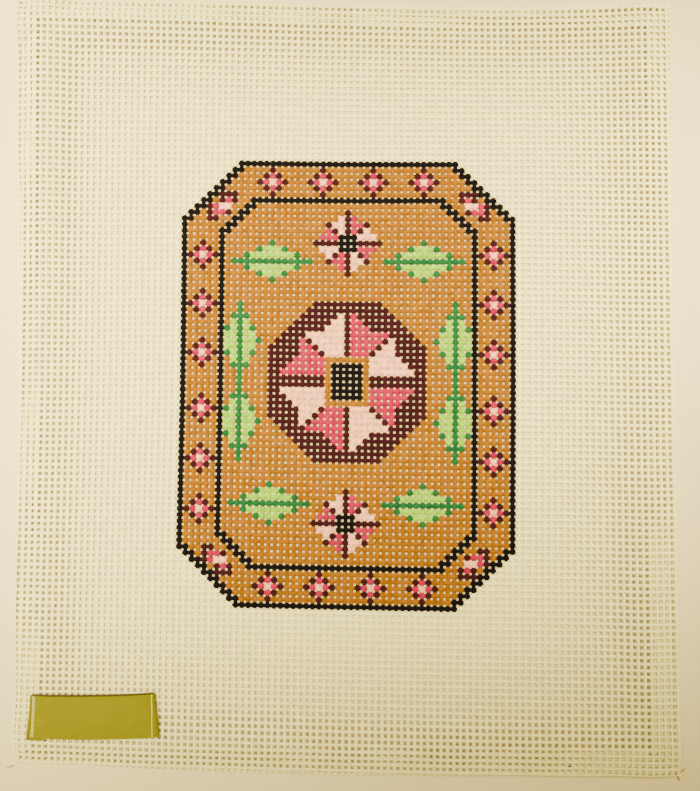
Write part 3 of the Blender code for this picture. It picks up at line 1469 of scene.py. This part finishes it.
@dataclass
class SewnLabel:
    """A ribbon label with its ends folded under and sewn down."""

    cloth: FoldedCloth = field(default_factory=FoldedCloth)
    outline: LabelOutline = field(default_factory=LabelOutline)
    length: float = 39.0 * MM
    width: float = 12.9 * MM
    ribbon: float = 0.3 * MM
    tuck: float = 4.6 * MM
    tuck_slip: float = 0.85 * MM
    fold_radius: float = 0.62  # of the ribbon's thickness
    clearance: float = 0.25 * MM
    crown: float = 0.35 * MM
    edge_lift: float = 0.45 * MM
    seam_share: float = 0.93
    seam_reach: float = 0.03
    seam_depth: float = 0.17 * MM
    seam_shade_reach: float = 0.02
    ruffle: float = 0.06 * MM
    crumple: float = 0.12 * MM
    steps_up: int = 25
    steps_along: int = 76
    fold_steps: int = 7
    tuck_steps: int = 6
    sharp_deg: float = 55.0
    seams: tuple[Seam, ...] = (
        Seam((-0.928, 0.0), (-0.953, 1.0), stray=0.004, seed=3),
        Seam((-0.905, 0.02), (-0.93, 0.97), stray=0.005, seed=4),
        Seam((0.9, 0.0), (0.962, 1.0), stray=0.004, seed=5),
    )
    # A dark thread along the upper edge, a painted shadow under the lifted edge.
    edge: Seam = Seam((-0.96, 1.02), (0.98, 1.02), stray=0.0, seed=6)
    stitches: RunningStitches = RunningStitches(1.25 * MM, 0.32 * MM, 0.07 * MM)
    stitch_spacing: float = 1.06  # of a stitch's length
    stitch_rise: float = 0.6  # of the ribbon's thickness
    shadow_line_stitches: RunningStitches = RunningStitches(1.9 * MM, 0.5 * MM, 0.03 * MM)
    shadow_line_spacing: float = 0.8  # of a stitch's length

    def relief(self, along: Array, up: Array) -> Array:
        """How far the label's face stands off its sewn level.

        Args:
            along: How far along the label, from -1 to 1.
            up: How far up it, from 0 to 1.

        Returns:
            Heights.
        """
        hump = self.crown * (1 - along**10) * (0.5 + 0.5 * np.sin(math.pi * up))
        lift = self.edge_lift * up**3 * (1 - 0.6 * along**6)
        seam = self.seam_depth * np.exp(-(((np.abs(along) - self.seam_share) / self.seam_reach) ** 2))
        ruffle = self.ruffle * np.sin(along * 17.5 + up * 5) * np.sin(up * math.pi)
        loose = np.clip((along - self.seam_share) / (1 - self.seam_share), 0.0, 1.0)
        return hump + lift - seam + ruffle + self.crumple * loose * np.sin(17 * up + 1.5)

    def strip(self) -> tuple[Array, Array]:
        """The ribbon's line from one tucked end over the face to the other.

        Returns:
            Places along the label from -1 to 1, and heights above the tucked ends from 0 to 1.
        """
        half, radius = self.length / 2, self.ribbon * self.fold_radius
        angles = np.linspace(0, math.pi, self.fold_steps)
        under = np.linspace(half - self.tuck, half - radius, self.tuck_steps)[:-1]
        right_bend = half - radius + radius * np.sin(angles)
        top = np.linspace(half - radius, -half + radius, self.steps_along)[1:-1]
        along = np.concatenate([under, right_bend, top, -right_bend[::-1], -under[::-1]])
        bend = (1 - np.cos(angles)) / 2
        flat = np.zeros(len(under))
        return along / half, np.concatenate([flat, bend, np.ones(len(top)), bend[::-1], flat])

    def surface(self, along: Array, up: Array, high: Array) -> Array:
        """Places on the middle of the ribbon.

        Args:
            along: How far along the label, from -1 to 1.
            up: How far up it, from 0 to 1.
            high: 0 on the tucked ends, and 1 on the face.

        Returns:
            Rows of x, y and z.
        """
        x, y = self.outline.at(along, up)
        canvas_top = self.cloth.sheet_middle(x, y) + self.cloth.thickness / 2
        slip = np.where(along < 0, self.tuck_slip * (1 - high) * (1 - up), 0.0)
        z = canvas_top + self.clearance + self.ribbon * (0.5 + 2 * self.fold_radius * high)
        return np.stack([x, y - slip, z + high * self.relief(along, up)], axis=-1)

    def build_ribbon(self) -> Object:
        """Builds the ribbon from one strip that turns under at both ends.

        Returns:
            The ribbon's object.
        """
        along, high = self.strip()
        along, up = np.meshgrid(along, np.linspace(0.0, 1.0, self.steps_up), indexing="ij")
        first = np.arange(along.size).reshape(along.shape)[:-1, :-1].ravel()
        along, up, high = along.ravel(), up.ravel(), np.repeat(high, self.steps_up)
        corners = [first, first + self.steps_up, first + self.steps_up + 1, first + 1]
        data = bpy.data.meshes.new("ribbon_label")
        data.from_pydata(self.surface(along, up, high).tolist(), [], np.stack(corners, axis=1).tolist())
        # Marks the ends past the seams for the ribbon's painted shade.
        past_seam = (np.abs(along) - self.seam_share) / self.seam_shade_reach
        put_attribute(data, "past_seam", np.clip(past_seam, 0.0, 1.0))
        made = new_object("ribbon_label", data)
        shell = made.modifiers.new("thickness", "SOLIDIFY")
        shell.thickness, shell.offset = self.ribbon, 0.0
        apply_modifier(made, shell)
        made.data.set_sharp_from_angle(angle=math.radians(self.sharp_deg))
        made.data.materials.append(RibbonWeave().make())
        plan_map(made.data)
        return made

    def row(self, seam: Seam, pitch: float, raised: float) -> tuple[Array, Array]:
        """Spaces stitches along a seam.

        Args:
            seam: The seam.
            pitch: From one stitch to the next.
            raised: How high the stitches' middles stand over the ribbon's middle.

        Returns:
            The stitches' middles and their directions.
        """
        stray = np.random.default_rng(seam.seed)
        start, end = self.surface(*np.array([seam.start, seam.end]).T, np.ones(2))
        count = max(int(np.linalg.norm(end - start) / pitch), 2)
        shares = np.arange(count + 1) / count
        along = seam.start[0] + (seam.end[0] - seam.start[0]) * shares
        along = along + stray.uniform(-seam.stray, seam.stray, count + 1)
        up = seam.start[1] + (seam.end[1] - seam.start[1]) * shares
        ends = self.surface(along, up, np.ones(count + 1))
        ends[:, 2] += raised
        return (ends[:-1] + ends[1:]) / 2, ends[1:] - ends[:-1]

    def build(self) -> list[Object]:
        """Returns:
            The ribbon, the seams' stitches and a dark thread along its upper edge, which stands in for the
            shadow under the lifted edge: a painted shadow.
        """
        ribbon = self.build_ribbon()
        pitch, rise = self.stitches.length * self.stitch_spacing, self.ribbon * self.stitch_rise
        rows = [self.row(seam, pitch, rise) for seam in self.seams]
        places, ways = (np.concatenate([row[k] for row in rows]) for k in (0, 1))
        pale = SewingThread(name="pale_yellow_thread", light="#E8E6A8", dark="#C2BF62").make()
        seams = self.stitches.build("label_stitches", places, ways, pale)
        # Painted shadow: a dark thread along the upper edge stands in for the shadow under the lifted edge.
        dark = SewingThread(name="dark_shadow_thread", light="#3A2412", dark="#24140A").make()
        places, ways = self.row(self.edge, self.shadow_line_stitches.length * self.shadow_line_spacing, 0.0)
        edge = self.shadow_line_stitches.build("label_edge_shadow_thread", places, ways, dark)
        for piece in (ribbon, seams, edge):
            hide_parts("label")
            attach(piece, "root")
        return [ribbon, seams, edge]


# ---- Loose bits ---------------------------------------------------------------------------------


@dataclass(frozen=True)
class ThreadBits:
    """Short bits of thread at chosen places, each turned its own way."""

    name: str
    places_mm: tuple[tuple[float, float, float], ...]
    angles_deg: tuple[float, ...]
    strand: RunningStitches
    finish: SewingThread

    def build(self) -> Object:
        """Returns:
            An object with all the bits.
        """
        angles = np.radians(self.angles_deg)
        ways = np.stack([np.cos(angles), np.sin(angles), np.zeros(len(angles))], axis=1)
        made = self.strand.build(self.name, np.array(self.places_mm) * MM, ways, self.finish.make())
        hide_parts("canvas")
        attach(made, "root")
        return made


CORNER_ENDS = ThreadBits(
    "loose_thread_ends",
    places_mm=((101.3, -117.9, 0.45), (100.2, -119.6, 0.4), (-101.2, -117.2, 0.4)),
    angles_deg=(38.0, -62.0, 200.0),
    strand=RunningStitches(2.2 * MM, 0.42 * MM, 0.12 * MM),
    finish=SewingThread(name="canvas_thread_end", light="#CDB98C", dark="#8E7440"),
)
LINT = ThreadBits(
    "dark_lint",
    places_mm=((91.6, -112.7, 1.15), (67.7, -116.3, 1.15)),
    angles_deg=(60.0, 15.0),
    strand=RunningStitches(0.8 * MM, 0.42 * MM, 0.05 * MM),
    finish=SewingThread(name="dark_lint_fibre", light="#3A2412", dark="#20120A"),
)


# ---- The studio ---------------------------------------------------------------------------------


@dataclass(frozen=True)
class SoftSpot:
    """A warm light of several spots spread over a wide face, which gives soft shadows."""

    name: str
    place: tuple[float, float, float]
    aim: tuple[float, float, float]
    angle: float
    blend: float
    watts: float
    radius: float = 0.09
    spread: float = 0.26
    lamps: int = 8
    tint: tuple[float, float, float] = (1.0, 0.865, 0.3)

    def build(self) -> None:
        """Hangs the spots on the light's face and turns each to what the light is aimed at."""
        aim, middle = Vector(self.aim), Vector(self.place)
        turned = (aim - middle).to_track_quat("-Z", "Y")
        for number in range(self.lamps):
            lamp = bpy.data.lights.new(f"{self.name}_{number}", "SPOT")
            lamp.energy, lamp.color = self.watts / self.lamps, self.tint
            lamp.spot_size, lamp.spot_blend = self.angle, self.blend
            lamp.shadow_soft_size = self.radius
            made = bpy.data.objects.new(lamp.name, lamp)
            reach = self.spread * math.sqrt((number + 0.5) / self.lamps)
            turn = number * GOLDEN_ANGLE
            made.location = middle + turned @ Vector((reach * math.cos(turn), reach * math.sin(turn), 0.0))
            made.rotation_euler = (aim - made.location).to_track_quat("-Z", "Y").to_euler()
            bpy.context.scene.collection.objects.link(made)


@dataclass
class Studio:
    """Floor, soft light and the camera."""

    floor_half: float = 1.6
    floor_tone: str = "#E3D9DC"
    floor_roughness: float = 0.9
    floor_specular: float = 0.2
    spots: tuple[SoftSpot, ...] = (
        SoftSpot("left_spot", (-0.45, 0.1, 0.85), (-0.154, 0.046, 0.0), 0.46, 0.9, 204.0),
        SoftSpot("right_spot", (0.5, 0.46, 0.85), (0.11, 0.046, 0.0), 0.25, 1.0, 262.0),
    )
    room_tint: Colour = (1.0, 0.765, 0.15, 1.0)
    room_strength: float = 0.78
    lens_mm: float = 45.51
    sensor_mm: float = 36.0
    nearest: float = 0.01
    camera_place: tuple[float, float, float] = (0.00665, -0.01818, 0.30616)
    camera_turn_deg: tuple[float, float, float] = (2.485, 0.872, -0.09)

    def floor(self) -> Object:
        """Lays the pale floor, which is not part of the object.

        Returns:
            The floor's object.
        """
        mesh = bmesh.new()
        bmesh.ops.create_grid(mesh, x_segments=4, y_segments=4, size=self.floor_half)
        data = bpy.data.meshes.new("floor")
        mesh.to_mesh(data)
        mesh.free()
        made = new_object("studio_floor", data)
        # Matt paper is plain and smooth, and shows no highlight beside the panel's shadow.
        paper = bpy.data.materials.new("matt_paper")
        paper.use_nodes = True
        shader = paper.node_tree.nodes["Principled BSDF"]
        shader.inputs["Base Color"].default_value = linear(self.floor_tone)
        shader.inputs["Roughness"].default_value = self.floor_roughness
        shader.inputs["Specular IOR Level"].default_value = self.floor_specular
        data.materials.append(paper)
        return made

    def lights(self) -> None:
        """Hangs a soft light above each side of the panel, and fills the room with warm light."""
        for spot in self.spots:
            spot.build()
        world = bpy.data.worlds.new("warm_room")
        world.use_nodes = True
        background = world.node_tree.nodes["Background"]
        background.inputs["Color"].default_value = self.room_tint
        background.inputs["Strength"].default_value = self.room_strength
        bpy.context.scene.world = world

    def camera(self) -> None:
        """Places the camera above the panel, tilted a little as the photographer held it."""
        data = bpy.data.cameras.new("camera")
        data.lens, data.sensor_width = self.lens_mm, self.sensor_mm
        data.clip_start = self.nearest
        made = bpy.data.objects.new("camera", data)
        made.location = self.camera_place
        made.rotation_euler = [math.radians(angle) for angle in self.camera_turn_deg]
        bpy.context.scene.collection.objects.link(made)
        bpy.context.scene.camera = made


def main() -> None:
    """Builds the looks in order."""
    logging.basicConfig(level=logging.INFO, format="%(message)s")
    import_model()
    studio = Studio()
    studio.camera()
    floor = studio.floor()
    studio.lights()
    LOG.info("studio: floor, spot lights, room light and camera")
    for band in WovenCanvas().build(floor):
        LOG.info("%s: %d faces", band.name, len(band.data.polygons))
    for piece in SewnLabel().build():
        LOG.info("%s: %d faces", piece.name, len(piece.data.polygons))
    for bits in (CORNER_ENDS, LINT):
        piece = bits.build()
        LOG.info("%s: %d faces", piece.name, len(piece.data.polygons))


if __name__ == "__main__":
    main()
